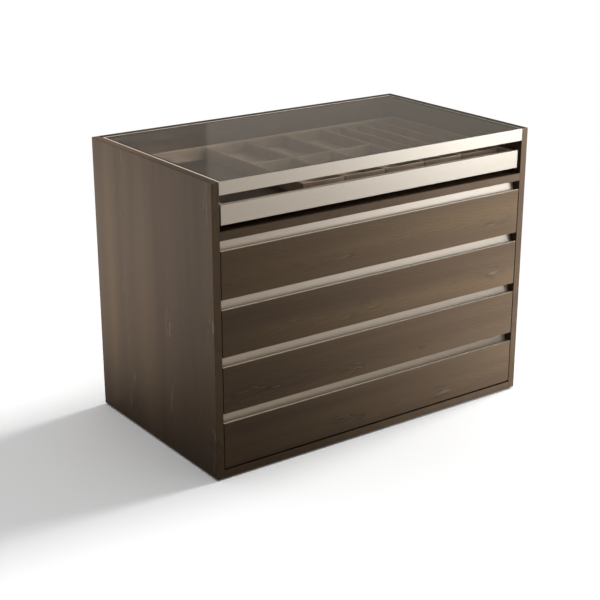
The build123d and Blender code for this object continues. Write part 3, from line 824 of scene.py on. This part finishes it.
def studio_floor():
    """A white floor. The camera sees it a little lifted, keeping the shadow near the object and running
    into the white background further out. Gloss sees painted shade on it: dim near the object and paler
    further out. Matt surfaces get little light back from it, because for them it is dark grey."""
    made, tree, surface, place = material("studio_floor")
    away = add(tree, "ShaderNodeVectorMath", {0: place}, operation="LENGTH").outputs["Value"]
    seen = add(tree, "ShaderNodeLightPath")
    # Painted shade for gloss: dim near the object, paler further out
    in_gloss = add(
        tree,
        "ShaderNodeMapRange",
        {
            "Value": away,
            "From Min": NEAR,
            "From Max": FAR,
            "To Min": NEAR_GLOSS,
            "To Max": FAR_GLOSS,
        },
    )
    in_gloss = add(
        tree, "ShaderNodeMath", {0: in_gloss, 1: seen.outputs["Is Glossy Ray"]}, operation="MULTIPLY"
    )
    shown = add(
        tree, "ShaderNodeMath", {0: seen.outputs["Is Camera Ray"], 1: in_gloss}, operation="MAXIMUM"
    )
    dark, white = grey(FLOOR_GREY), grey(1.0)
    paint = add(tree, "ShaderNodeMix", {0: shown, 6: dark, 7: white}, data_type="RGBA")
    lit = add(tree, "ShaderNodeBsdfDiffuse", {"Color": paint.outputs[2]})
    lift = add(tree, "ShaderNodeMath", {0: shown, 1: FLOOR_LIFT}, operation="MULTIPLY")
    glow = add(tree, "ShaderNodeEmission", {"Color": white, "Strength": lift})
    lifted = add(tree, "ShaderNodeAddShader", {0: lit, 1: glow})
    background = add(tree, "ShaderNodeEmission", {"Color": white, "Strength": 1.0})
    far = add(
        tree, "ShaderNodeMapRange", {"Value": away, "From Min": WHITE_FROM, "From Max": WHITE_FULL}
    )
    far = add(tree, "ShaderNodeMath", {0: far, 1: shown}, operation="MULTIPLY")
    both = add(tree, "ShaderNodeMixShader", {0: far, 1: lifted, 2: background})
    tree.links.new(both.outputs[0], surface)
    mesh = bpy.data.meshes.new("floor")
    low, high = -FLOOR_REACH, FLOOR_REACH
    corners = [(low, low, 0), (high, low, 0), (high, high, 0), (low, high, 0)]
    mesh.from_pydata(corners, [], [(0, 1, 2, 3)])
    floor = bpy.data.objects.new("floor", mesh)
    bpy.context.scene.collection.objects.link(floor)
    mesh.materials.append(made)


# What gloss sees round the studio, by azimuth in degrees from +Y towards +X
WALLS = (
    (-180, 0.9),
    (-100, 0.35),
    (-60, 0.2),
    (-10, 0.18),
    (40, 0.18),
    (60, 0.3),
    (95, 0.9),
    (180, 0.9),
)
# The pale screen's azimuths: it begins sharply at the first, and fades from the second to the third
SCREEN_FROM, SCREEN_FADE, SCREEN_TO = 31.6, 38.0, 46.0
SCREEN_EDGE = 0.2
SCREEN_LEVEL, BESIDE_SCREEN = 0.12, 0.05
CEILING, CEILING_FROM, CEILING_FULL = 1.5, 0.5, 0.75  # its level, and the upward parts it lies at
OVERHEAD, GATHERED = 2.0, 6.0  # the soft light's strength straight up, and how closely it gathers there
WARM = "#fff4e6"


def studio_sky():
    """White behind the object for the camera, and soft light from overhead for matt surfaces. Gloss sees
    the studio's walls, a little warm: dim behind, with one upright pale screen, bright in front, and
    brightest overhead."""
    world = bpy.data.worlds.new("studio_sky")
    bpy.context.scene.world = world
    world.use_nodes = True
    tree = world.node_tree
    tree.nodes.clear()
    direction = add(tree, "ShaderNodeTexCoord").outputs["Generated"]
    axes = add(tree, "ShaderNodeSeparateXYZ", {0: direction})
    turn = add(
        tree, "ShaderNodeMath", {0: axes.outputs[X], 1: axes.outputs[Y]}, operation="ARCTAN2"
    )
    around = add(
        tree, "ShaderNodeMapRange", {"Value": turn, "From Min": -math.pi, "From Max": math.pi}
    )
    wall = add(
        tree,
        "ShaderNodeValToRGB",
        {"Fac": around},
        stops=[((degrees + 180) / 360, grey(level)) for degrees, level in WALLS],
    )
    screen = add(
        tree,
        "ShaderNodeMapRange",
        {
            "Value": turn,
            "From Min": math.radians(SCREEN_FROM),
            "From Max": math.radians(SCREEN_FROM + SCREEN_EDGE),
        },
    )
    screen_end = add(
        tree,
        "ShaderNodeMapRange",
        {
            "Value": turn,
            "From Min": math.radians(SCREEN_FADE),
            "From Max": math.radians(SCREEN_TO),
            "To Min": SCREEN_LEVEL,
            "To Max": BESIDE_SCREEN,
        },
    )
    screen = add(tree, "ShaderNodeMath", {0: screen, 1: screen_end}, operation="MULTIPLY")
    level = add(tree, "ShaderNodeMath", {0: wall, 1: screen}, operation="ADD")
    overhead = add(
        tree,
        "ShaderNodeMapRange",
        {"Value": axes.outputs[Z], "From Min": CEILING_FROM, "From Max": CEILING_FULL},
    )
    level = add(tree, "ShaderNodeMix", {"Factor": overhead, "A": level, "B": CEILING})
    seen = add(tree, "ShaderNodeLightPath")
    matt = seen.outputs["Diffuse Depth"]
    before_matt = add(tree, "ShaderNodeMath", {0: matt, 1: 0.5}, operation="LESS_THAN")
    glossy = seen.outputs["Glossy Depth"]
    bounces = add(tree, "ShaderNodeMath", {0: matt, 1: glossy}, operation="ADD")
    straight = add(tree, "ShaderNodeMath", {0: bounces, 1: 0.5}, operation="LESS_THAN")
    glass_ray = seen.outputs["Is Transmission Ray"]
    gloss = add(
        tree, "ShaderNodeMath", {0: seen.outputs["Is Glossy Ray"], 1: glass_ray}, operation="MAXIMUM"
    )
    gloss = add(tree, "ShaderNodeMath", {0: gloss, 1: before_matt}, operation="MULTIPLY")
    through = add(tree, "ShaderNodeMath", {0: glass_ray, 1: straight}, operation="MULTIPLY")
    plain_view = add(
        tree, "ShaderNodeMath", {0: seen.outputs["Is Camera Ray"], 1: through}, operation="MAXIMUM"
    )
    soft = add(tree, "ShaderNodeMath", {0: axes.outputs[Z], 1: GATHERED}, operation="POWER")
    soft = add(tree, "ShaderNodeMath", {0: soft, 1: OVERHEAD}, operation="MULTIPLY")
    level = add(tree, "ShaderNodeMix", {"Factor": gloss, "A": soft, "B": level})
    level = add(tree, "ShaderNodeMix", {"Factor": plain_view, "A": level, "B": 1.0})
    white, warm = grey(1.0), linear(WARM)
    warmth = add(tree, "ShaderNodeMix", {0: gloss, 6: white, 7: warm}, data_type="RGBA")
    light = add(tree, "ShaderNodeBackground", {"Color": warmth.outputs[2], "Strength": level})
    add(tree, "ShaderNodeOutputWorld", {0: light})


def lamp(name, kind, place, aim, power, tint="#ffffff", in_matt=True, in_gloss=True, **settings):
    """A lamp at a place, pointed at another, that lights matt surfaces, glossy ones or both."""
    light = bpy.data.lights.new(name, kind)
    light.energy = power
    light.color = linear(tint)[:3]
    for setting, value in settings.items():
        setattr(light, setting, value)
    holder = bpy.data.objects.new(name, light)
    bpy.context.scene.collection.objects.link(holder)
    holder.location = place
    holder.rotation_euler = (Vector(aim) - Vector(place)).to_track_quat("-Z", "Y").to_euler()
    holder.visible_camera = False
    holder.visible_diffuse = in_matt
    holder.visible_glossy = in_gloss
    return holder


def spot(name, place, aim, power, degrees, size, **how):
    """A soft-edged spot: its cone in degrees and its lens in metres."""
    return lamp(
        name,
        "SPOT",
        place,
        aim,
        power,
        spot_size=math.radians(degrees),
        spot_blend=1.0,
        shadow_soft_size=size,
        **how,
    )


def carded(holder, reach, *things):
    """Black cards beside a lamp: with INCLUDE its light reaches only the things, with EXCLUDE all but
    them."""
    cards = bpy.data.collections.new(f"{holder.name}_cards")
    for thing in things:
        cards.objects.link(thing)
    for row in cards.collection_objects:
        row.light_linking.link_state = reach
    holder.light_linking.receiver_collection = cards


COOL = "#eef6ff"
MATT_ONLY, GLOSS_ONLY = {"in_gloss": False}, {"in_matt": False}

studio_floor()
studio_sky()

# A soft sun from the right, which throws the shadow to the left
lamp("key_right", "SUN", (5.8, 0.0, 4.6), (0, 0, 0), power=2.4, angle=math.radians(18))

# Low and close, on the right of the drawer fronts
spot(
    "fill_front_right",
    (1.35, -1.35, 0.1),
    (0.6, -0.32, 0.37),
    power=188,
    degrees=60,
    size=0.1,
    tint=COOL,
    **MATT_ONLY,
)

# The sheen on the metal, strongest at the right. It's kept off the pane, which would show it as a disc
sheen = spot(
    "sheen_front_right",
    (1.3, -1.47, 0.9),
    (0.55, -0.32, 1.06),
    power=103,
    degrees=69,
    size=0.36,
    tint=COOL,
    **GLOSS_ONLY,
)
carded(sheen, "EXCLUDE", frame["nodes"]["glass_top"])

# On the organisers, through the gap over the tray's front
into_gap = spot(
    "into_gap",
    (0.3, -2.58, 1.66),
    (0.15, -0.25, 0.757),
    power=65,
    degrees=30,
    size=0.06,
    **MATT_ONLY,
)
carded(into_gap, "INCLUDE", *(bpy.data.objects[f"organiser_{n + 1}"] for n in range(ORGANISERS)))

# Through the pane, on the back of the tray's open bay
spot(
    "into_tray",
    (1.0, -1.0, 2.6),
    (-0.46, 0.22, 0.74),
    power=260,
    degrees=13,
    size=0.06,
    **MATT_ONLY,
)

# Low, from behind, on the far half of the left side
spot(
    "lift_left",
    (-1.3, 1.5, 0.15),
    (-0.55, 0.3, 0.52),
    power=150,
    degrees=43,
    size=0.1,
    **MATT_ONLY,
)

CAMERA_PLACE = (-2.303, -3.143, 1.708)
CAMERA_YAW, CAMERA_PITCH = 35.68, -19.67
LENS, SENSOR = 82.0, 36.0
camera = bpy.data.objects.new("camera", bpy.data.cameras.new("camera"))
bpy.context.scene.collection.objects.link(camera)
camera.location = CAMERA_PLACE
camera.rotation_euler = (math.radians(90 + CAMERA_PITCH), 0, math.radians(-CAMERA_YAW))
camera.data.lens, camera.data.sensor_width = LENS, SENSOR
bpy.context.scene.camera = camera
bpy.context.scene.view_settings.view_transform = "Standard"
